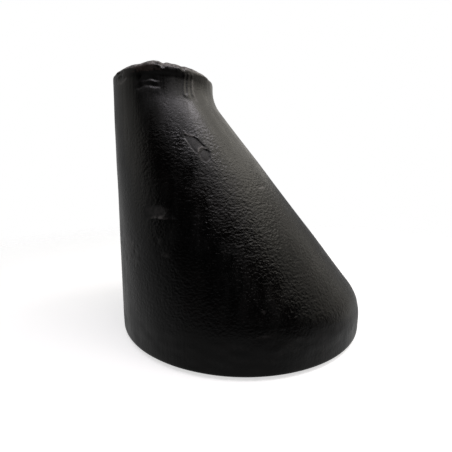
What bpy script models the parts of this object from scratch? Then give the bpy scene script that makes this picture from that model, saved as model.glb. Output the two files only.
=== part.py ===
"""Eccentric butt-weld pipe reducer, DN100 to DN32: one hollow steel piece with a weld bevel at each end.

Metres, +Z up. The origin is the centre of the large end's face, which the fitting stands on, and +Z runs
along the pipe towards the small end. The flat side, where the two pipes' walls line up, is at -X, so the
wall slopes in from +X. The XZ plane is the plane of symmetry.
"""

import math

import bmesh
import bpy

# Pipe sizes that the fitting joins, and its overall length
LARGE_DIAMETER = 0.108
SMALL_DIAMETER = 0.038
LENGTH = 0.102
LARGE_WALL = 0.004
SMALL_WALL = 0.0035

# Outline of the sloping side: corners of the straight lines, and the radii that round them
SHOULDER_HEIGHT = 0.0137
NECK_HEIGHT = 0.0936
SHOULDER_RADIUS = 0.016
NECK_RADIUS = 0.0135

# Weld preparation on both ends: a narrow square land at the bore, then the bevel
LAND = 0.0016
BEVEL_ANGLE = math.radians(37.5)

# Facets
RING_SEGMENTS = 72
CORNER_STEPS = 6
SMOOTH_ANGLE = math.radians(25)

PAINT_COLOUR = (0.018, 0.018, 0.019, 1.0)
PAINT_ROUGHNESS = 0.42

LARGE_RADIUS = LARGE_DIAMETER / 2
FLAT_SIDE_X = -LARGE_RADIUS
NECK_X = FLAT_SIDE_X + SMALL_DIAMETER
SLOPE_ANGLE = math.atan2(LARGE_RADIUS - NECK_X, NECK_HEIGHT - SHOULDER_HEIGHT)


def clear_scene():
    for obj in list(bpy.data.objects):
        bpy.data.objects.remove(obj, do_unlink=True)


def rounded_corner(corner, angle_in, angle_out, radius):
    """Points (x, z) of the arc that rounds a corner. Both angles are from +Z, positive towards -X."""
    half_turn = (angle_out - angle_in) / 2
    bend = math.copysign(1.0, half_turn)
    run_up = radius * abs(math.tan(half_turn))
    start_x = corner[0] + run_up * math.sin(angle_in)
    start_z = corner[1] - run_up * math.cos(angle_in)
    centre_x = start_x - bend * radius * math.cos(angle_in)
    centre_z = start_z - bend * radius * math.sin(angle_in)
    points = []
    for step in range(CORNER_STEPS + 1):
        angle = angle_in + (angle_out - angle_in) * step / CORNER_STEPS
        x = centre_x + bend * radius * math.cos(angle)
        z = centre_z + bend * radius * math.sin(angle)
        points.append((x, z))
    return points


def sloping_side(large_inset, small_inset):
    """The rounded stretch of the outline (x, z) on the +X side, moved into the wall by the insets."""
    drop = math.tan(SLOPE_ANGLE / 2)
    shoulder = (LARGE_RADIUS - large_inset, SHOULDER_HEIGHT - large_inset * drop)
    neck = (NECK_X - small_inset, NECK_HEIGHT - small_inset * drop)
    slope = math.atan2(shoulder[0] - neck[0], neck[1] - shoulder[1])
    lower = rounded_corner(shoulder, 0.0, slope, SHOULDER_RADIUS - large_inset)
    upper = rounded_corner(neck, slope, 0.0, NECK_RADIUS + small_inset)
    return lower + upper


def inset_at(height, large_inset, small_inset):
    """The inset at this height, which changes evenly between the shoulder and the neck."""
    share = (height - SHOULDER_HEIGHT) / (NECK_HEIGHT - SHOULDER_HEIGHT)
    share = min(max(share, 0.0), 1.0)
    return large_inset + (small_inset - large_inset) * share


def ring_between(flat_x, slope_x, height):
    """A ring (centre x, radius, z): the level circle whose two sides are at flat_x and slope_x."""
    return ((flat_x + slope_x) / 2, (slope_x - flat_x) / 2, height)


def surface_rings(large_inset, small_inset):
    """Rings from the shoulder to the neck, on the surface this far inside the outer one."""
    rings = []
    for slope_x, height in sloping_side(large_inset, small_inset):
        flat_x = FLAT_SIDE_X + inset_at(height, large_inset, small_inset)
        rings.append(ring_between(flat_x, slope_x, height))
    return rings


def large_end_ring(inset, from_face):
    return ring_between(FLAT_SIDE_X + inset, LARGE_RADIUS - inset, from_face)


def small_end_ring(inset, from_face):
    return ring_between(FLAT_SIDE_X + inset, NECK_X - inset, LENGTH - from_face)


def section_rings():
    """Every ring of the closed wall: up the outside, over the small end, down the bore, under the foot."""
    large_bevel = LARGE_WALL - LAND
    small_bevel = SMALL_WALL - LAND
    rings = [large_end_ring(large_bevel, 0.0), large_end_ring(0.0, large_bevel * math.tan(BEVEL_ANGLE))]
    rings += surface_rings(0.0, 0.0)
    rings += [small_end_ring(0.0, small_bevel * math.tan(BEVEL_ANGLE)), small_end_ring(small_bevel, 0.0)]
    rings += [small_end_ring(SMALL_WALL, 0.0)]
    rings += reversed(surface_rings(LARGE_WALL, SMALL_WALL))
    rings += [large_end_ring(LARGE_WALL, 0.0)]
    return rings


def ring_vertices(bm, ring):
    centre_x, radius, height = ring
    vertices = []
    for segment in range(RING_SEGMENTS):
        turn = 2 * math.pi * segment / RING_SEGMENTS
        vertices.append(bm.verts.new((centre_x + radius * math.cos(turn), radius * math.sin(turn), height)))
    return vertices


def closed_loft(name, rings):
    """A mesh through the rings in turn, and from the last back to the first."""
    bm = bmesh.new()
    loops = [ring_vertices(bm, ring) for ring in rings]
    for index, lower in enumerate(loops):
        upper = loops[(index + 1) % len(loops)]
        for segment in range(RING_SEGMENTS):
            after = (segment + 1) % RING_SEGMENTS
            bm.faces.new((lower[segment], lower[after], upper[after], upper[segment]))
    bmesh.ops.recalc_face_normals(bm, faces=bm.faces)
    mesh = bpy.data.meshes.new(name)
    bm.to_mesh(mesh)
    bm.free()
    mesh.shade_smooth()
    mesh.set_sharp_from_angle(angle=SMOOTH_ANGLE)
    return mesh


def black_paint():
    material = bpy.data.materials.new("black_paint")
    material.use_nodes = True
    shader = material.node_tree.nodes["Principled BSDF"]
    shader.inputs["Base Color"].default_value = PAINT_COLOUR
    shader.inputs["Roughness"].default_value = PAINT_ROUGHNESS
    shader.inputs["Metallic"].default_value = 0.0
    return material


def make_reducer_body(collection):
    """The whole fitting, pressed from one length of seamless pipe and machined at its ends."""
    mesh = closed_loft("reducer_body", section_rings())
    mesh.materials.append(black_paint())
    body = bpy.data.objects.new("reducer_body", mesh)
    collection.objects.link(body)


def main():
    clear_scene()
    collection = bpy.data.collections.new("eccentric_reducer")
    bpy.context.scene.collection.children.link(collection)
    make_reducer_body(collection)


main()
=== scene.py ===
"""Studio picture of an eccentric butt-weld reducer in black paint over hot-formed scale.

Metres, +Z up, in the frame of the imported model: the large end stands on z = 0, the flat side is at -X and
the wall slopes in from +X. A place on the wall is given as a turn, which is the angle in degrees round the
pipe at that height, from +X towards +Y, and as a height above the floor in mm.
"""

import math

import bpy
import numpy as np
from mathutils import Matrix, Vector, noise


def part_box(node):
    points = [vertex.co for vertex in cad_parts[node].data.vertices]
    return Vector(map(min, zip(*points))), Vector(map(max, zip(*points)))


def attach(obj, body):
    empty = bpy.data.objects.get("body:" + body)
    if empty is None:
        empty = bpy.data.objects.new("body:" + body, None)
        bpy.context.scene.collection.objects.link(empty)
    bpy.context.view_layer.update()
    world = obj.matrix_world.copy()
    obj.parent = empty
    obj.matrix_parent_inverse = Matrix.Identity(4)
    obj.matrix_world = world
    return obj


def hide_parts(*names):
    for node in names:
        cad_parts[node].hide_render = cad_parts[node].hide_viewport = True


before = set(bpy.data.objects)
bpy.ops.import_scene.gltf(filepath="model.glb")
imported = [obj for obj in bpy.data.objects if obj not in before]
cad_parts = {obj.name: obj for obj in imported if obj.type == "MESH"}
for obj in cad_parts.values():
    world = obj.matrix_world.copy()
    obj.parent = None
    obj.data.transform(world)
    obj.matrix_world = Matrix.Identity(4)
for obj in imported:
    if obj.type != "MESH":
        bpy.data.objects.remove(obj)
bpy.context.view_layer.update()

MM = 0.001

# Outline of the fitting, as its design gives it; its outer size comes from the frame
NODE = "reducer_body"
BOX_LOW, BOX_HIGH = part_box(NODE)
FLAT_SIDE_X = BOX_LOW.x
LARGE_RADIUS = BOX_HIGH.x
LENGTH = BOX_HIGH.z
SMALL_DIAMETER = 38 * MM
LARGE_WALL = 4.0 * MM
SMALL_WALL = 3.5 * MM
SHOULDER_HEIGHT = 13.7 * MM
NECK_HEIGHT = 93.6 * MM
SHOULDER_RADIUS = 16 * MM
NECK_RADIUS = 13.5 * MM
LAND = 1.6 * MM
BEVEL_ANGLE = math.radians(37.5)
NECK_X = FLAT_SIDE_X + SMALL_DIAMETER
SLOPE_ANGLE = math.atan2(LARGE_RADIUS - NECK_X, NECK_HEIGHT - SHOULDER_HEIGHT)
LARGE_BEVEL = LARGE_WALL - LAND
SMALL_BEVEL = SMALL_WALL - LAND
LARGE_BEVEL_TOP = LARGE_BEVEL * math.tan(BEVEL_ANGLE)
SMALL_BEVEL_FOOT = LENGTH - SMALL_BEVEL * math.tan(BEVEL_ANGLE)

# Mesh density. Rings are as far apart along the wall as the steps for their heights say: closest where the
# marks are finest. Columns crowd towards the side that the photo shows.
SEGMENTS = 316
ARC_STEPS = 32
EDGE_STEP = 0.3 * MM
EASE_PASSES = 2
WALL_HEIGHTS = np.array((0, 3, 66, 69, 79, 82, 87, 90, 102)) * MM
WALL_STEPS = np.array((0.3, 0.72, 0.72, 0.38, 0.38, 0.72, 0.72, 0.32, 0.3)) * MM
BORE_HEIGHTS = np.array((0, 6, 96, 102)) * MM
BORE_STEPS = np.array((0.3, 4.5, 4.5, 0.3)) * MM
FRONT_TURN = math.radians(-115)
FRONT_CROWDING = 0.4

# Floor: a round board, solid under the object and fading out towards its rim
FLOOR_SOLID_RADIUS = 0.11
FLOOR_RADIUS = 0.34
FLOOR_CORNERS = 96
FLOOR_COLOUR = (0.85, 0.85, 0.85, 1.0)
FLOOR_ROUGHNESS = 0.8
FLOOR_SPECULAR = 0.2
FLOOR_GLOW = 0.62
WHITE = (1.0, 1.0, 1.0, 1.0)

# Light that the object sees from the room and from the ground: in front (-Y) and behind (+Y), with more from
# the ground on the right (+X). The ranges are of a direction's Y, X and Z.
FRONT_TO_BACK = (-0.2, 0.9)
ROOM_LIGHT = (0.0, 0.3)
GROUND_LIGHT = (0.14, 0.35)
MIDDLE_TO_RIGHT = (0.1, 0.9)
GROUND_LIGHT_RIGHT = (0.0, 0.22)
GROUND_TO_ROOM = (-0.4, 0.02)

# Round softboxes that face the object: azimuth (0 in front at -Y, towards +X), elevation, diameter,
# radiance, colour
SOFTBOX_DISTANCE = 0.5
COOL_WHITE = (1.03, 1.0, 1.0)
WARM_WHITE = (1.05, 1.0, 0.9)
LAVENDER = (1.06, 1.0, 1.08)
SOFTBOXES = {
    "overhead_left": (-60, 50, 0.36, 0.23, COOL_WHITE),
    "overhead_front": (0, 50, 0.36, 0.76, COOL_WHITE),
    "overhead_right": (40, 50, 0.36, 1.20, WARM_WHITE),
    "overhead_side": (80, 50, 0.36, 1.15, WARM_WHITE),
    "neck_left": (-42, 58, 0.16, 4.4, LAVENDER),
    "neck_front": (-4, 64, 0.16, 3.6, LAVENDER),
    "neck_right": (32, 63, 0.13, 5.4, LAVENDER),
    "right_front": (45, 25, 0.36, 0.40, WARM_WHITE),
    "right": (90, 25, 0.36, 0.33, WARM_WHITE),
    "right_low": (75, 2, 0.36, 0.32, WARM_WHITE),
    "behind_right": (125, 35, 0.36, 0.50, WARM_WHITE),
    "left": (-110, 20, 0.36, 0.19, WARM_WHITE),
}

# Camera, set round a point near the middle of the box
CAMERA_AZIMUTH = math.radians(-28.81)
CAMERA_PITCH = math.radians(8.157)
CAMERA_DISTANCE = 134.2 * MM
CAMERA_TARGET_OFFSET = Vector((-7.3, 0.0, -8.3)) * MM
CAMERA_LENS = 22.78
CAMERA_SENSOR = 36.0
CAMERA_CLIP_START = 5 * MM


# ---------------------------------------------------------------- outline

def rounded_corner(corner, angle_in, angle_out, radius):
    """Points (x, z) of the arc that rounds a corner. Both angles are from +Z, positive towards -X."""
    half_turn = (angle_out - angle_in) / 2
    bend = math.copysign(1.0, half_turn)
    run_up = radius * abs(math.tan(half_turn))
    start_x = corner[0] + run_up * math.sin(angle_in)
    start_z = corner[1] - run_up * math.cos(angle_in)
    angles = np.linspace(angle_in, angle_out, ARC_STEPS)
    x = start_x + bend * radius * (np.cos(angles) - math.cos(angle_in))
    z = start_z + bend * radius * (np.sin(angles) - math.sin(angle_in))
    return np.column_stack((x, z))


def sloping_side(large_inset, small_inset):
    """The outline (x, z) on the +X side from below the shoulder to above the neck, moved into the wall."""
    drop = math.tan(SLOPE_ANGLE / 2)
    shoulder = (LARGE_RADIUS - large_inset, SHOULDER_HEIGHT - large_inset * drop)
    neck = (NECK_X - small_inset, NECK_HEIGHT - small_inset * drop)
    slope = math.atan2(shoulder[0] - neck[0], neck[1] - shoulder[1])
    lower = rounded_corner(shoulder, 0.0, slope, SHOULDER_RADIUS - large_inset)
    upper = rounded_corner(neck, slope, 0.0, NECK_RADIUS + small_inset)
    return np.vstack((lower, upper))


def resampled(path, heights, steps):
    """The polyline (x, z) again, with its points as far apart as the steps given for these heights."""
    runs = np.hypot(*np.diff(path, axis=0).T)
    along = np.concatenate(([0.0], np.cumsum(runs)))
    wanted = [0.0]
    while wanted[-1] < along[-1]:
        height = np.interp(wanted[-1], along, path[:, 1])
        wanted.append(wanted[-1] + np.interp(height, heights, steps))
    wanted = np.array(wanted) * along[-1] / wanted[-1]
    return np.column_stack([np.interp(wanted, along, column) for column in path.T])


def wall_rings(large_inset, small_inset, low, high, heights, steps):
    """Rings (centre x, radius, z) up the wall from height low to height high, this far inside the outside."""
    first = (LARGE_RADIUS - large_inset, low)
    last = (NECK_X - small_inset, high)
    path = resampled(np.vstack((first, sloping_side(large_inset, small_inset), last)), heights, steps)
    slope_x, height = path.T
    share = np.clip((height - SHOULDER_HEIGHT) / (NECK_HEIGHT - SHOULDER_HEIGHT), 0.0, 1.0)
    flat_x = FLAT_SIDE_X + large_inset + (small_inset - large_inset) * share
    return np.column_stack(((flat_x + slope_x) / 2, (slope_x - flat_x) / 2, height))


def end_rings(right_x, start, stop):
    """Rings between two (inset, z) points of an end's section, without the last one."""
    path = resampled(np.array((start, stop)), (0.0, LENGTH), (EDGE_STEP, EDGE_STEP))[:-1]
    centre_x = np.full(len(path), (FLAT_SIDE_X + right_x) / 2)
    return np.column_stack((centre_x, (right_x - FLAT_SIDE_X) / 2 - path[:, 0], path[:, 1]))


def section_rings():
    """Every ring of the closed wall, and how many of them, from the first, lie on the outside."""
    foot_bevel = end_rings(LARGE_RADIUS, (LARGE_BEVEL, 0.0), (0.0, LARGE_BEVEL_TOP))
    outside = wall_rings(0.0, 0.0, LARGE_BEVEL_TOP, SMALL_BEVEL_FOOT, WALL_HEIGHTS, WALL_STEPS)[:-1]
    top_bevel = end_rings(NECK_X, (0.0, SMALL_BEVEL_FOOT), (SMALL_BEVEL, LENGTH))
    top_land = end_rings(NECK_X, (SMALL_BEVEL, LENGTH), (SMALL_WALL, LENGTH))
    bore = wall_rings(LARGE_WALL, SMALL_WALL, 0.0, LENGTH, BORE_HEIGHTS, BORE_STEPS)[::-1][:-1]
    foot_land = end_rings(LARGE_RADIUS, (LARGE_WALL, 0.0), (LARGE_BEVEL, 0.0))
    rings = np.vstack((foot_bevel, outside, top_bevel, top_land, bore, foot_land))
    return rings, len(foot_bevel) + len(outside) + len(top_bevel)


def eased(rings):
    """The same rings with every edge of the section broken by a few tenths of a millimetre."""
    for _ in range(EASE_PASSES):
        rings = (np.roll(rings, 1, axis=0) + 2 * rings + np.roll(rings, -1, axis=0)) / 4
    return rings


# ---------------------------------------------------------------- the wall as a grid

class Wall:
    """The closed wall as a grid of points: one row for each ring, one column for each turn."""

    def __init__(self):
        rings, self.rows_outside = section_rings()
        rings = eased(rings)
        even = np.linspace(0.0, 2 * math.pi, SEGMENTS, endpoint=False)
        crowded = even - FRONT_CROWDING * np.sin(even - FRONT_TURN)
        self.turn = np.tile(crowded, (len(rings), 1))
        centre_x, self.radius, self.height = np.repeat(rings.T[:, :, None], SEGMENTS, axis=2)
        x = centre_x + self.radius * np.cos(self.turn)
        y = self.radius * np.sin(self.turn)
        self.points = np.stack((x, y, self.height), axis=-1)
        self.outside = np.arange(len(rings))[:, None] < self.rows_outside
        self.normals = self.outward_normals()

    def outward_normals(self):
        around = np.roll(self.points, -1, axis=1) - np.roll(self.points, 1, axis=1)
        along = np.roll(self.points, -1, axis=0) - np.roll(self.points, 1, axis=0)
        normals = np.cross(around, along)
        return normals / np.linalg.norm(normals, axis=-1, keepdims=True)

    def noise(self, across, up, shift):
        """Smooth noise from about -1 to 1 whose bumps measure this many mm across and up."""
        scaled = self.points.reshape(-1, 3) / (across * MM, across * MM, up * MM) + shift
        values = [noise.noise(Vector(point)) for point in scaled]
        return np.array(values).reshape(self.turn.shape)

    def uneven(self, height, across, up, shift):
        """Uneven relief: the height of its bumps and their size across and up, in mm."""
        return height * MM * self.noise(across, up, shift)

    def patchy(self, cover, contrast, across, up, shift):
        """Patches of this size in mm, from 0 to 1: more cover makes them wider, and more contrast sharper."""
        return smooth(cover + contrast * self.noise(across, up, shift))

    def away_from(self, turn):
        """Angle from this turn, from -pi to pi."""
        return (self.turn - np.radians(turn) + math.pi) % (2 * math.pi) - math.pi

    def across(self, turn):
        """Distance along the wall's circle from this turn, in metres."""
        return self.away_from(turn) * self.radius

    def above(self, height):
        """Distance above this height, in metres."""
        return self.height - height * MM

    def facing(self, turn, width):
        """1 on the side at this turn, falling smoothly to 0 at width degrees from it."""
        return smooth(1 - np.abs(self.away_from(turn)) / math.radians(width))

    def rising(self, height, blend):
        """0 below this height, rising smoothly to 1 over the blend above it."""
        return smooth(self.above(height) / (blend * MM))

    def between(self, low, high, blend):
        """1 between two heights, falling smoothly to 0 over the blend outside them."""
        return smooth(self.above(low) / (blend * MM) + 1) * smooth(-self.above(high) / (blend * MM) + 1)

    def outer_radius(self, height):
        """Radius of the outside at this height, in metres."""
        rows = slice(self.rows_outside)
        return np.interp(height * MM, self.height[rows, 0], self.radius[rows, 0])


def smooth(share):
    share = np.clip(share, 0.0, 1.0)
    return share * share * (3 - 2 * share)


def bump(distance, width):
    return np.exp(-((distance / width) ** 2))


def segment_distance(across, up, start, end):
    """Distance to the straight line between two points."""
    run = (end[0] - start[0], end[1] - start[1])
    share = ((across - start[0]) * run[0] + (up - start[1]) * run[1]) / (run[0] ** 2 + run[1] ** 2)
    share = np.clip(share, 0.0, 1.0)
    return np.hypot(across - start[0] - share * run[0], up - start[1] - share * run[1])


def polygon_distance(across, up, corners):
    """Distance to the outline of a polygon, negative inside it."""
    nearest = np.full(across.shape, np.inf)
    inside = np.zeros(across.shape, bool)
    for (ax, ay), (bx, by) in zip(corners, corners[1:] + corners[:1]):
        nearest = np.minimum(nearest, segment_distance(across, up, (ax, ay), (bx, by)))
        if ay != by:
            crosses = (ay > up) != (by > up)
            inside ^= crosses & (across < (bx - ax) * (up - ay) / (by - ay) + ax)
    return np.where(inside, -nearest, nearest)


def drawn_lines(wall, lines, width):
    """1 along the middle of each line of (turn, height) points, falling to 0 beside it."""
    drawn = np.zeros(wall.turn.shape)
    for points in lines:
        turn, height = points[0]
        radius = wall.outer_radius(height)
        places = [(math.radians(t - turn) * radius, (h - height) * MM) for t, h in points]
        for start, end in zip(places, places[1:]):
            distance = segment_distance(wall.across(turn), wall.above(height), start, end)
            drawn = np.maximum(drawn, bump(distance, width))
    return drawn


# ---------------------------------------------------------------- forming and scale

# Below, a band is its lowest and highest point and the blend outside them, in mm. A start is a height and the
# blend above it, in mm. A side is its middle turn and its width, in degrees. Unevenness is the height of its
# bumps and their size across and up, in mm, and the shift of its noise.

# Left by the forming
LONG_WAVES = (0.22, 30, 30, 0.0)
SHORT_WAVES = (0.10, 11, 11, 7.3)
WAVES_START = (0, 6)
FOOT_DENTS = (0.11, 5.0, 2.4, 27.0)
DENTED_BAND = (4, 13, 4)

# Scale under the paint
FINE_SCALE = (0.024, 1.3, 1.0, 3.1)
BROAD_SCALE = (0.026, 3.0, 2.4, 11.7)

# How strongly the scale is folded: a little everywhere, more at the foot, most on the body and its slope, and
# less again towards the top of the body and where the paint is gone
SCALE_EVERYWHERE = 0.1
SCALE_ON_FOOT = 0.22
SCALE_ON_BODY = 0.35
SCALE_ON_SLOPE = 0.55
SCALE_LOST_AT_TOP = 0.35
SCALE_LOST_WHERE_BARE = 0.75
FOOT_BAND = (4, 9, 3)
BODY_BAND = (22, 77, 12)
SLOPE_BAND = (19, 76, 9)
FRONT_OF_FOOT = (-95, 60)
FRONT_OF_SLOPE = (-80, 120)
BODY_TOP_START = (48, 20)


def forming_waves(wall):
    """Slow unevenness from drawing the pipe over a mandrel; none where the fitting stands."""
    waves = wall.uneven(*LONG_WAVES) + wall.uneven(*SHORT_WAVES)
    dents = wall.uneven(*FOOT_DENTS) * wall.between(*DENTED_BAND)
    return (waves + dents) * wall.rising(*WAVES_START)


def scale_strength(wall):
    """Where the scale under the paint is folded: most on the front of the slope, least on the flat side."""
    foot = wall.facing(*FRONT_OF_FOOT) * wall.between(*FOOT_BAND)
    body = wall.between(*BODY_BAND)
    slope = wall.facing(*FRONT_OF_SLOPE) * wall.between(*SLOPE_BAND)
    calmer = 1 - SCALE_LOST_AT_TOP * wall.rising(*BODY_TOP_START)
    return SCALE_EVERYWHERE + SCALE_ON_FOOT * foot + (SCALE_ON_BODY * body + SCALE_ON_SLOPE * slope) * calmer


def scale_ripples(wall):
    return wall.uneven(*FINE_SCALE) + wall.uneven(*BROAD_SCALE)


# ---------------------------------------------------------------- marks

# Chips in the paint: turn, height, depth in mm, and corners (across, up) in mm
CHIPS = (
    (-104.3, 75.2, 0.13, (
        (-2.0, 2.7), (-0.1, 2.7), (1.4, 2.0), (3.3, -1.4), (0.5, -2.5), (-1.2, -3.4), (-2.2, 1.3),
    )),
    (-101.2, 71.5, 0.19, (
        (-1.3, 0.9), (0.7, 2.1), (2.1, 1.5), (1.5, -1.0), (-0.6, -2.4), (-2.1, -1.8),
    )),
    (-141.6, 53.0, 0.06, (
        (-4.7, 1.6), (2.0, 2.0), (2.1, 0.9), (3.3, 0.3), (3.2, -0.5), (2.2, -1.5), (-5.6, -2.4),
    )),
    (-132.6, 51.3, 0.10, (
        (-0.8, 0.5), (0.9, -0.3), (-0.7, -0.5),
    )),
)
CHIP_EDGE = 0.35 * MM
# A chip is deepest at its upper right, and reaches from no depth to full depth over this distance
CHIP_SLOPE = 6 * MM

# Curled paint along the edges of the chips and at the scratch on the slope, raised a little and painted pale:
# the pale is a painted highlight on the curled lips. Turn and height of each point
CURLED_EDGES = (
    ((-107.6, 78.6), (-105.6, 78.0), (-102.6, 77.7)),
    ((-104.4, 72.4), (-103.0, 73.6), (-100.5, 74.2), (-98.0, 73.8)),
    ((-62.6, 59.7), (-62.0, 59.6)),
    ((-67.2, 60.4), (-66.6, 60.3)),
)
CURL_WIDTH = 0.18 * MM
CURL_HEIGHT = 0.10 * MM
# How strongly the pale grey of the painted highlight is laid along the curled lips
CURL_HIGHLIGHT = 0.65

# Fine grooves where the paint has cracked: turn and height of each point
CRACKS = (
    ((-108.6, 77.6), (-108.4, 75.8), (-106.6, 73.2), (-104.8, 71.6)),
    ((-103.9, 71.9), (-104.2, 70.6), (-102.6, 69.2), (-99.4, 70.0), (-97.4, 71.4), (-96.9, 73.0)),
    ((-74.0, 60.9), (-71.0, 61.4), (-68.5, 61.2)),
    ((-154.5, 81.5), (-156.5, 77.0)),
    ((-146.5, 47.5), (-145.0, 43.5), (-145.5, 39.0)),
)
CRACK_WIDTH = 0.30 * MM
CRACK_DEPTH = 0.07 * MM

# Scratches that show paler metal: turn and height of each point
SCRATCHES = (
    ((-166.0, 97.0), (-157.0, 96.5), (-150.0, 97.7)),
    ((-77.0, 97.6), (-78.5, 94.3), (-79.5, 90.5)),
    ((-74.0, 60.7), (-69.0, 61.1)),
)
SCRATCH_WIDTH = 0.35 * MM
SCRATCH_DEPTH = 0.08 * MM
SCRATCH_WEAR = 0.3

# Gouges below the small end: turn, height, half width, half height and depth, in mm. A gouge's middle line
# falls to the right by the tilt and at both ends by the sag. Its ragged edges are noise of these strengths
# and sizes, in mm. The lip is the share of its half height over which its lower edge comes up.
GOUGES = (
    (-121.5, 96.5, 3.4, 0.8, 0.30),
    (-125.0, 94.6, 4.6, 1.0, 0.38),
)
GOUGE_TILT = 0.25
GOUGE_SAG = 0.25
GOUGE_RAGGED = 0.8
GOUGE_RAGGED_SIZE = (3.2, 6.0)
GOUGE_JAGGED = 0.3
GOUGE_JAGGED_SIZE = (1.1, 6.0)
GOUGE_LIP = 0.6
# How bare the paint is round a gouge: how sharply that ends at its sides, how many half heights it reaches up
# and down, and how strong it is
GOUGE_BARE_ENDS = 3
GOUGE_BARE_REACH = 2.5
GOUGE_BARE = 0.5

# Runs of paint down the small end: turn at the top and bottom, height at the top and bottom. Both ends of a
# run blend out over RUN_END, in mm.
RUNS = (
    (-86.5, -90.5, 98.6, 92.0),
    (-82.0, -86.0, 98.8, 92.2),
    (-77.5, -81.0, 99.0, 92.4),
)
RUN_HEIGHT = 0.16 * MM
RUN_WIDTH = 0.45 * MM
RUN_END = 0.8
DROP_TURN = -88.0
DROP_HEIGHT = 91.6
DROP_RELIEF = 0.15 * MM
DROP_WIDTH = 0.8 * MM

# Pits: how many, their turns, heights, sizes in mm, greatest depth, and the seed that scatters them
PITS = (
    (60, (-180, 180), (5, 92), (0.4, 0.8), 0.04 * MM, 6),
    (80, (-185, -157), (33, 44), (0.35, 0.6), 0.18 * MM, 8),
    (14, (-168, -150), (97.5, 100.5), (0.4, 0.7), 0.3 * MM, 15),
)
# The draw of a pit's depth, as a share of the greatest
PIT_DEPTHS = (0.4, 1.0)

# Small end: rolled out at the front, with an uneven edge
ROLL = 0.55 * MM
ROLLED_SIDE = (-115, 62)
ROLL_START = (97.3, 2.4)
RIM_EDGE_START = (99.6, 0.9)
RIM_SWELLS = (0.16, 3.4, 9, 21.0)
RIM_BURRS = (0.09, 1.3, 5, 5.0)
# A swelling and two nicks in its edge: turn, width and relief in mm
RIM_MARKS = (
    (-119.0, 3.2, 0.45),
    (-108.5, 0.8, -0.45),
    (-88.0, 1.0, -0.25),
)

# Worn paint on the two bevels, and the sound paint between them; on the small end's bevel the pale is also a
# painted highlight where the bevel faces up. Patches are their cover and contrast, their size across and up
# in mm, and the shift of their noise.
BEVEL_WEAR_AND_HIGHLIGHT = 0.9
TOP_BEVEL_START = (100.2, 0.5)
SOUND_PAINT_START = (1.5, 0.5)
WORN_PATCHES = (0.75, 0.9, 1.8, 1.8, 31.0)

# Grey rubbed patches on the paint, and one painted highlight along the lower edge of a chip: turn, height,
# half width and half height in mm, strength
RUBS_AND_LIP_HIGHLIGHT = (
    (-141.6, 53.2, 4.2, 1.7, 0.075),
    # Painted highlight: a thin pale line along the chip's lower edge, where it faces up
    (-141.0, 51.2, 3.6, 0.45, 0.3),
    (-143.0, 43.6, 1.0, 1.0, 0.05),
    (-142.0, 38.9, 2.0, 0.7, 0.07),
    (-168.0, 39.5, 4.5, 4.5, 0.17),
    (-163.0, 34.5, 2.5, 1.2, 0.09),
    (-109.0, 22.2, 0.6, 0.5, 0.10),
    (-112.0, 14.9, 2.6, 0.6, 0.05),
    (-100.0, 12.6, 2.2, 0.5, 0.04),
    (-71.0, 10.3, 1.4, 2.4, 0.07),
)
# A rub's strength, as a share, is this in its middle, cut off at 1, and less by the fade at its half width
RUB_START = 1.6
RUB_FADE = 1.2
RUB_RAGGED = 0.35
RUB_RAGGED_SIZE = (1.1, 1.1)

# Rust on the rim, in the same terms
RUST_PATCH = (-126.0, 99.9, 3.9, 0.9)
RUST_START = 2.2
RUST_FADE = 1.8
RUST_RAGGED = 1.2
RUST_RAGGED_NOISE = (0.9, 0.7, 17.0)

# Dust on the straight part at the foot
DUST = 0.024
DUST_CLOUDS = (0.35, 0.9, 5.5, 2.2, 27.0)
DUSTY_BAND = (2, 11, 5)


def chips(wall):
    """(relief, where the paint is gone) of the chips, which have no scale in them."""
    relief = np.zeros(wall.turn.shape)
    bare = np.zeros(wall.turn.shape)
    for turn, height, depth, corners in CHIPS:
        corners = tuple((across * MM, up * MM) for across, up in corners)
        distance = polygon_distance(wall.across(turn), wall.above(height), corners)
        inside = smooth(0.5 - distance / CHIP_EDGE)
        towards_upper_right = (wall.across(turn) + wall.above(height)) / CHIP_SLOPE
        relief -= depth * MM * inside * smooth(0.5 + towards_upper_right)
        bare = np.maximum(bare, inside)
    return relief, bare


def gouges(wall):
    """(relief, where the paint is gone) of the gouges. The roof overhangs and the lower lip catches light."""
    relief = np.zeros(wall.turn.shape)
    bare = np.zeros(wall.turn.shape)
    for turn, height, half_width, half_height, depth in GOUGES:
        across = wall.across(turn) / (half_width * MM)
        up = wall.above(height - GOUGE_TILT * across - GOUGE_SAG * across ** 2) / (half_height * MM)
        ragged = up + GOUGE_RAGGED * wall.noise(*GOUGE_RAGGED_SIZE, height)
        ragged += GOUGE_JAGGED * wall.noise(*GOUGE_JAGGED_SIZE, height)
        overhang = np.clip((1 - ragged) / (2 - GOUGE_LIP), 0.0, 1.0)
        lip = smooth((1 + ragged) / GOUGE_LIP)
        inside = np.clip(1 - across ** 2, 0.0, 1.0)
        relief -= depth * MM * inside * overhang * lip
        bare = np.maximum(bare, smooth(GOUGE_BARE_ENDS * inside) * smooth(GOUGE_BARE_REACH - np.abs(ragged)))
    return relief, bare


def paint_runs(wall):
    """Runs of paint, with a drop below them."""
    relief = np.zeros(wall.turn.shape)
    for top_turn, foot_turn, top, foot in RUNS:
        share = np.clip((wall.height / MM - foot) / (top - foot), 0.0, 1.0)
        across = wall.across(foot_turn + (top_turn - foot_turn) * share)
        relief += RUN_HEIGHT * bump(across, RUN_WIDTH) * wall.between(foot, top, RUN_END)
    from_drop = np.hypot(wall.across(DROP_TURN), wall.above(DROP_HEIGHT))
    return relief + DROP_RELIEF * bump(from_drop, DROP_WIDTH)


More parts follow.
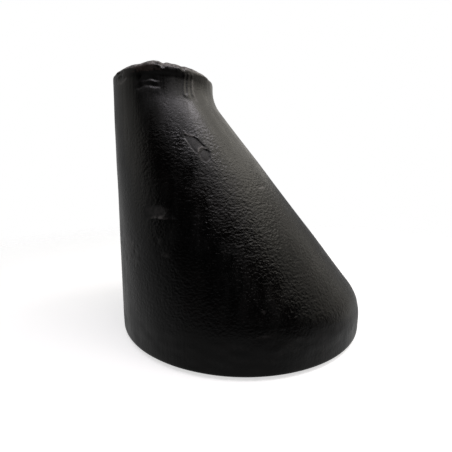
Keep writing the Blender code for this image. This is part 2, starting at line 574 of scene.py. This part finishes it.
def pits(wall, count, turns, heights, sizes, depth, seed):
    """Small round pits scattered over a stretch of the wall."""
    draw = np.random.default_rng(seed)
    relief = np.zeros(wall.turn.shape)
    for _ in range(count):
        turn = draw.uniform(*turns)
        height = draw.uniform(*heights)
        width = draw.uniform(*sizes)
        distance = np.hypot(wall.across(turn), wall.above(height))
        relief -= draw.uniform(*PIT_DEPTHS) * depth * bump(distance, width * MM)
    return relief


def rim(wall):
    """The small end: its edge is rolled out at the front, uneven, swollen and nicked."""
    rolled = ROLL * wall.rising(*ROLL_START) * wall.facing(*ROLLED_SIDE)
    edge = wall.uneven(*RIM_SWELLS) + wall.uneven(*RIM_BURRS)
    for turn, width, mark in RIM_MARKS:
        edge += mark * MM * bump(wall.across(turn), width * MM)
    return rolled + wall.rising(*RIM_EDGE_START) * edge


def bevel_wear_and_highlight(wall):
    """How pale the two bevels are: worn paint, and on the small end's bevel also a painted highlight where it
    faces up.
    """
    bevels = np.maximum(wall.rising(*TOP_BEVEL_START), 1 - wall.rising(*SOUND_PAINT_START))
    return BEVEL_WEAR_AND_HIGHLIGHT * bevels * wall.patchy(*WORN_PATCHES)


def rubs_and_lip_highlight(wall):
    """Faint grey rubbed patches on the paint, and a painted highlight along the lower edge of a chip."""
    grey = np.zeros(wall.turn.shape)
    for turn, height, half_width, half_height, strength in RUBS_AND_LIP_HIGHLIGHT:
        place = np.hypot(wall.across(turn) / (half_width * MM), wall.above(height) / (half_height * MM))
        ragged = place + RUB_RAGGED * wall.noise(*RUB_RAGGED_SIZE, turn)
        grey = np.maximum(grey, strength * smooth(RUB_START - RUB_FADE * ragged))
    return grey


def rust_patch(wall):
    """Where the rim is rusty: a ragged rectangle."""
    turn, height, half_width, half_height = RUST_PATCH
    sideways = np.abs(wall.across(turn)) / (half_width * MM)
    upwards = np.abs(wall.above(height)) / (half_height * MM)
    place = np.maximum(sideways, upwards)
    return smooth(RUST_START - RUST_FADE * place + RUST_RAGGED * wall.noise(*RUST_RAGGED_NOISE))


def dust(wall):
    """Cloudy dust on the straight part at the foot."""
    return DUST * wall.patchy(*DUST_CLOUDS) * wall.between(*DUSTY_BAND)


def relief_and_maps(wall):
    """How far the real surface stands proud of the design, and the maps that its paint follows."""
    chip_relief, chipped = chips(wall)
    gouge_relief, gouged = gouges(wall)
    bare = np.maximum(chipped, GOUGE_BARE * gouged)
    scratch = drawn_lines(wall, SCRATCHES, SCRATCH_WIDTH)
    curl = drawn_lines(wall, CURLED_EDGES, CURL_WIDTH)
    crack = drawn_lines(wall, CRACKS, CRACK_WIDTH)
    ripples = scale_strength(wall) * (1 - SCALE_LOST_WHERE_BARE * bare)
    relief = forming_waves(wall) + ripples * scale_ripples(wall) + chip_relief + gouge_relief
    relief += paint_runs(wall) + rim(wall)
    relief += CURL_HEIGHT * curl - SCRATCH_DEPTH * scratch - CRACK_DEPTH * crack
    for stretch in PITS:
        relief += pits(wall, *stretch)
    # Pale lines: paler metal in the scratches, and painted highlights along the curled lips
    worn_and_highlit_lines = np.maximum(SCRATCH_WEAR * scratch, CURL_HIGHLIGHT * curl)
    maps = {
        "ripples": ripples,
        "bare": bare,
        # Worn paint, dust and rubbed patches, with the painted highlights of the lips, a chip's edge and the
        # small end's bevel
        "wear_and_highlights": np.maximum.reduce((bevel_wear_and_highlight(wall), worn_and_highlit_lines, rubs_and_lip_highlight(wall), dust(wall))),
        "rust": rust_patch(wall),
    }
    return relief * wall.outside, maps


# ---------------------------------------------------------------- meshes

def grid_mesh(name, points):
    """A closed mesh through a grid of points that meets itself both ways."""
    rows, columns = points.shape[:2]
    index = np.arange(rows * columns).reshape(rows, columns)
    right = np.roll(index, -1, axis=1)
    up = np.roll(index, -1, axis=0)
    up_right = np.roll(up, -1, axis=1)
    quads = np.stack((index, right, up_right, up), axis=-1).reshape(-1, 4)
    mesh = bpy.data.meshes.new(name)
    mesh.from_pydata(points.reshape(-1, 3).tolist(), [], quads.tolist())
    mesh.shade_smooth()
    return mesh


def add_object(name, data):
    obj = bpy.data.objects.new(name, data)
    bpy.context.scene.collection.objects.link(obj)
    return obj


# ---------------------------------------------------------------- materials

# Paint and what shows where it has gone
PAINT_BLACK = (0.0010, 0.0010, 0.0010, 1.0)
PAINT_BROWNED = (0.0034, 0.0026, 0.0024, 1.0)
# Pale grey of worn paint; the same grey is painted as highlights on curled lips, along a chip's edge and on
# the small end's bevel
WORN_AND_HIGHLIGHT_GREY = (0.34, 0.32, 0.31, 1.0)
RUST = (0.085, 0.062, 0.055, 1.0)
PAINT_IOR = 1.5

# Noise in the paint: scale per metre and detail. Streaks and bands run up the wall, and folds lie a little
# across it, so their space is scaled along each axis.
MOTTLE = (60.0, 4.0)
SPECKLE = (900.0, 3.0)
GRIT = (1400.0, 2.0)
CLOUDS = (140.0, 3.0)
BANDS = (330.0, 3.0)
BAND_STRETCH = (1.0, 1.0, 0.1)
STREAKS = (1100.0, 2.0)
STREAK_STRETCH = (1.0, 1.0, 0.03)
FOLDS = (1250.0, 2.0)
FOLD_STRETCH = (0.78, 0.78, 1.0)

# What a range of each noise becomes
SHARE = (0.0, 1.0)
BROWNED_WHERE = (0.35, 0.7)
SPECKLED_WHERE = (0.38, 0.6)
SPECKLED_WEAR = (0.35, 1.2)
CLOUD_RANGE = (0.3, 0.7)
CLOUD_ROUGHNESS = (0.23, 0.33)
BAND_RANGE = (0.35, 0.65)
BAND_ROUGHNESS = (-0.06, 0.06)
STREAK_RANGE = (0.2, 0.6)
STREAK_ROUGHNESS = (-0.03, 0.05)
WORN_ROUGHNESS = 0.2
BARE_ROUGHNESS = 0.22

FOLD_RELIEF = 0.27 * MM
STREAK_RELIEF = 0.06 * MM
GRIT_RELIEF = 0.03 * MM


def new_material(name):
    material = bpy.data.materials.new(name)
    material.use_nodes = True
    return material, material.node_tree, material.node_tree.nodes["Principled BSDF"]


def noise_node(tree, vector, scale, detail):
    node = tree.nodes.new("ShaderNodeTexNoise")
    node.inputs["Scale"].default_value = scale
    node.inputs["Detail"].default_value = detail
    tree.links.new(vector, node.inputs["Vector"])
    return node.outputs["Fac"]


def stretched(tree, vector, scale):
    node = tree.nodes.new("ShaderNodeMapping")
    node.inputs["Scale"].default_value = scale
    tree.links.new(vector, node.inputs["Vector"])
    return node.outputs["Vector"]


def map_range(tree, value, low, high, to_low, to_high):
    node = tree.nodes.new("ShaderNodeMapRange")
    node.inputs["From Min"].default_value = low
    node.inputs["From Max"].default_value = high
    node.inputs["To Min"].default_value = to_low
    node.inputs["To Max"].default_value = to_high
    tree.links.new(value, node.inputs["Value"])
    return node.outputs["Result"]


def bump_node(tree, height, distance, under=None):
    node = tree.nodes.new("ShaderNodeBump")
    node.inputs["Strength"].default_value = 1.0
    node.inputs["Distance"].default_value = distance
    tree.links.new(height, node.inputs["Height"])
    if under is not None:
        tree.links.new(under, node.inputs["Normal"])
    return node.outputs["Normal"]


def attribute_node(tree, name):
    node = tree.nodes.new("ShaderNodeAttribute")
    node.attribute_name = name
    return node.outputs["Fac"]


def math_node(tree, operation, first, second):
    node = tree.nodes.new("ShaderNodeMath")
    node.operation = operation
    for socket, value in zip(node.inputs, (first, second)):
        if isinstance(value, float):
            socket.default_value = value
        else:
            tree.links.new(value, socket)
    return node.outputs["Value"]


def colour_mix(tree, factor, first, second):
    node = tree.nodes.new("ShaderNodeMix")
    node.data_type = "RGBA"
    tree.links.new(factor, node.inputs["Factor"])
    # Sockets 6 and 7, and output 2, are the ones for colours: the names A, B and Result are used three times
    for socket, value in ((node.inputs[6], first), (node.inputs[7], second)):
        if isinstance(value, tuple):
            socket.default_value = value
        else:
            tree.links.new(value, socket)
    return node.outputs[2]


def paint_colour(tree, place, grit):
    """Black, faintly browned in clouds, with speckled grey where the paint is worn and as painted highlights,
    and grainy rust.
    """
    browned = map_range(tree, noise_node(tree, place, *MOTTLE), *BROWNED_WHERE, *SHARE)
    paint = colour_mix(tree, browned, PAINT_BLACK, PAINT_BROWNED)
    speckle = map_range(tree, noise_node(tree, place, *SPECKLE), *SPECKLED_WHERE, *SPECKLED_WEAR)
    # Speckled pale grey of worn paint and of the painted highlights, from the mesh's map
    wear_and_highlights = math_node(tree, "MULTIPLY", attribute_node(tree, "wear_and_highlights"), speckle)
    rust = math_node(tree, "MULTIPLY", attribute_node(tree, "rust"), grit)
    return colour_mix(tree, rust, colour_mix(tree, wear_and_highlights, paint, WORN_AND_HIGHLIGHT_GREY), RUST)


def paint_roughness(tree, place, streak_height):
    """Clouds, upright bands and streaks, rougher where the paint is worn or gone."""
    band_noise = noise_node(tree, stretched(tree, place, BAND_STRETCH), *BANDS)
    changes = (
        map_range(tree, band_noise, *BAND_RANGE, *BAND_ROUGHNESS),
        map_range(tree, streak_height, *STREAK_RANGE, *STREAK_ROUGHNESS),
        math_node(tree, "MULTIPLY", attribute_node(tree, "wear_and_highlights"), WORN_ROUGHNESS),
        math_node(tree, "MULTIPLY", attribute_node(tree, "bare"), BARE_ROUGHNESS),
    )
    roughness = map_range(tree, noise_node(tree, place, *CLOUDS), *CLOUD_RANGE, *CLOUD_ROUGHNESS)
    for change in changes:
        roughness = math_node(tree, "ADD", roughness, change)
    return roughness


def paint_relief(tree, place, ripples, streak_height, grit):
    """Fine folds where the scale is rippled, drawing streaks where it isn't, and grit all over."""
    folds = noise_node(tree, stretched(tree, place, FOLD_STRETCH), *FOLDS)
    normal = bump_node(tree, math_node(tree, "MULTIPLY", folds, ripples), FOLD_RELIEF)
    normal = bump_node(tree, streak_height, STREAK_RELIEF, normal)
    return bump_node(tree, grit, GRIT_RELIEF, normal)


def black_paint():
    """Black paint over scale, which follows the mesh's maps of ripples, bare paint, worn paint and painted
    highlights, and rust.
    """
    material, tree, shader = new_material("black_paint")
    place = tree.nodes.new("ShaderNodeTexCoord").outputs["Object"]
    ripples = attribute_node(tree, "ripples")
    streaks = noise_node(tree, stretched(tree, place, STREAK_STRETCH), *STREAKS)
    streak_height = math_node(tree, "MULTIPLY", streaks, math_node(tree, "SUBTRACT", 1.0, ripples))
    grit = noise_node(tree, place, *GRIT)
    shader.inputs["IOR"].default_value = PAINT_IOR
    tree.links.new(paint_colour(tree, place, grit), shader.inputs["Base Color"])
    tree.links.new(paint_roughness(tree, place, streak_height), shader.inputs["Roughness"])
    tree.links.new(paint_relief(tree, place, ripples, streak_height, grit), shader.inputs["Normal"])
    return material


def floor_material():
    """Matt, faintly lit board that fades out into the white surround away from the object."""
    material, tree, shader = new_material("studio_floor")
    # The glow isn't sampled as a lamp
    material.cycles.emission_sampling = "NONE"
    shader.inputs["Base Color"].default_value = FLOOR_COLOUR
    shader.inputs["Roughness"].default_value = FLOOR_ROUGHNESS
    shader.inputs["Specular IOR Level"].default_value = FLOOR_SPECULAR
    shader.inputs["Emission Color"].default_value = WHITE
    shader.inputs["Emission Strength"].default_value = FLOOR_GLOW
    place = tree.nodes.new("ShaderNodeTexCoord").outputs["Object"]
    distance = tree.nodes.new("ShaderNodeVectorMath")
    distance.operation = "LENGTH"
    tree.links.new(place, distance.inputs[0])
    fade = map_range(tree, distance.outputs["Value"], FLOOR_SOLID_RADIUS, FLOOR_RADIUS, *SHARE)
    clear = tree.nodes.new("ShaderNodeBsdfTransparent").outputs["BSDF"]
    mix = tree.nodes.new("ShaderNodeMixShader")
    tree.links.new(fade, mix.inputs["Fac"])
    tree.links.new(shader.outputs["BSDF"], mix.inputs[1])
    tree.links.new(clear, mix.inputs[2])
    tree.links.new(mix.outputs["Shader"], tree.nodes["Material Output"].inputs["Surface"])
    return material


# ---------------------------------------------------------------- pieces

def make_reducer():
    """The whole fitting, with its marks as relief and the maps of its paint."""
    wall = Wall()
    relief, maps = relief_and_maps(wall)
    points = wall.points + wall.normals * relief[..., None]
    mesh = grid_mesh("painted_reducer", points)
    for name, values in maps.items():
        attribute = mesh.attributes.new(name, "FLOAT", "POINT")
        attribute.data.foreach_set("value", values.ravel())
    mesh.materials.append(black_paint())
    reducer = add_object("painted_reducer", mesh)
    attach(reducer, "root")
    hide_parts(NODE)


def make_floor():
    bpy.ops.mesh.primitive_circle_add(vertices=FLOOR_CORNERS, radius=FLOOR_RADIUS, fill_type="NGON")
    floor = bpy.context.object
    floor.name = "studio_floor"
    floor.data.materials.append(floor_material())
    # The object sees the world's ground light in place of the floor
    floor.visible_glossy = False
    floor.visible_diffuse = False


# ---------------------------------------------------------------- studio

def direction_of(azimuth, elevation):
    """The direction from the object that an azimuth and an elevation name. Azimuth 0 is -Y."""
    level = math.cos(elevation)
    return Vector((math.sin(azimuth) * level, -math.cos(azimuth) * level, math.sin(elevation)))


def make_camera():
    data = bpy.data.cameras.new("photo_camera")
    data.lens = CAMERA_LENS
    data.sensor_width = CAMERA_SENSOR
    data.clip_start = CAMERA_CLIP_START
    camera = add_object("photo_camera", data)
    back = direction_of(CAMERA_AZIMUTH, CAMERA_PITCH)
    target = (BOX_LOW + BOX_HIGH) / 2 + CAMERA_TARGET_OFFSET
    camera.location = target + back * CAMERA_DISTANCE
    camera.rotation_euler = (math.pi / 2 - CAMERA_PITCH, 0.0, CAMERA_AZIMUTH)
    bpy.context.scene.camera = camera


def make_world():
    """White for the camera. The object sees a room and a ground that are dark in front and paler behind."""
    world = bpy.data.worlds.new("studio")
    world.use_nodes = True
    tree = world.node_tree
    direction = tree.nodes.new("ShaderNodeTexCoord").outputs["Generated"]
    axes = tree.nodes.new("ShaderNodeSeparateXYZ")
    tree.links.new(direction, axes.inputs["Vector"])
    behind = map_range(tree, axes.outputs["Y"], *FRONT_TO_BACK, *GROUND_LIGHT)
    beside = map_range(tree, axes.outputs["X"], *MIDDLE_TO_RIGHT, *GROUND_LIGHT_RIGHT)
    ground = math_node(tree, "ADD", behind, beside)
    room = map_range(tree, axes.outputs["Y"], *FRONT_TO_BACK, *ROOM_LIGHT)
    above_horizon = map_range(tree, axes.outputs["Z"], *GROUND_TO_ROOM, *SHARE)
    horizon = tree.nodes.new("ShaderNodeMix")
    tree.links.new(above_horizon, horizon.inputs["Factor"])
    tree.links.new(ground, horizon.inputs["A"])
    tree.links.new(room, horizon.inputs["B"])
    seen_by_object = tree.nodes["Background"]
    tree.links.new(horizon.outputs["Result"], seen_by_object.inputs["Color"])
    white = tree.nodes.new("ShaderNodeBackground")
    white.inputs["Color"].default_value = WHITE
    rays = tree.nodes.new("ShaderNodeLightPath")
    mix = tree.nodes.new("ShaderNodeMixShader")
    tree.links.new(rays.outputs["Is Camera Ray"], mix.inputs["Fac"])
    tree.links.new(seen_by_object.outputs["Background"], mix.inputs[1])
    tree.links.new(white.outputs["Background"], mix.inputs[2])
    tree.links.new(mix.outputs["Shader"], tree.nodes["World Output"].inputs["Surface"])
    bpy.context.scene.world = world


def make_softbox(name, azimuth, elevation, diameter, radiance, colour):
    """A round lamp that faces the object. Its power is its radiance times pi times its area."""
    data = bpy.data.lights.new(name, "AREA")
    data.shape = "DISK"
    data.size = diameter
    area = math.pi * (diameter / 2) ** 2
    data.energy = radiance * math.pi * area
    data.color = colour
    away = direction_of(math.radians(azimuth), math.radians(elevation))
    lamp = add_object(name, data)
    lamp.location = (BOX_LOW + BOX_HIGH) / 2 + away * SOFTBOX_DISTANCE
    lamp.rotation_euler = away.to_track_quat("Z", "Y").to_euler()
    lamp.visible_camera = False


bpy.context.scene.view_settings.view_transform = "Standard"
make_reducer()
make_floor()
make_camera()
make_world()
for name, settings in SOFTBOXES.items():
    make_softbox(name, *settings)
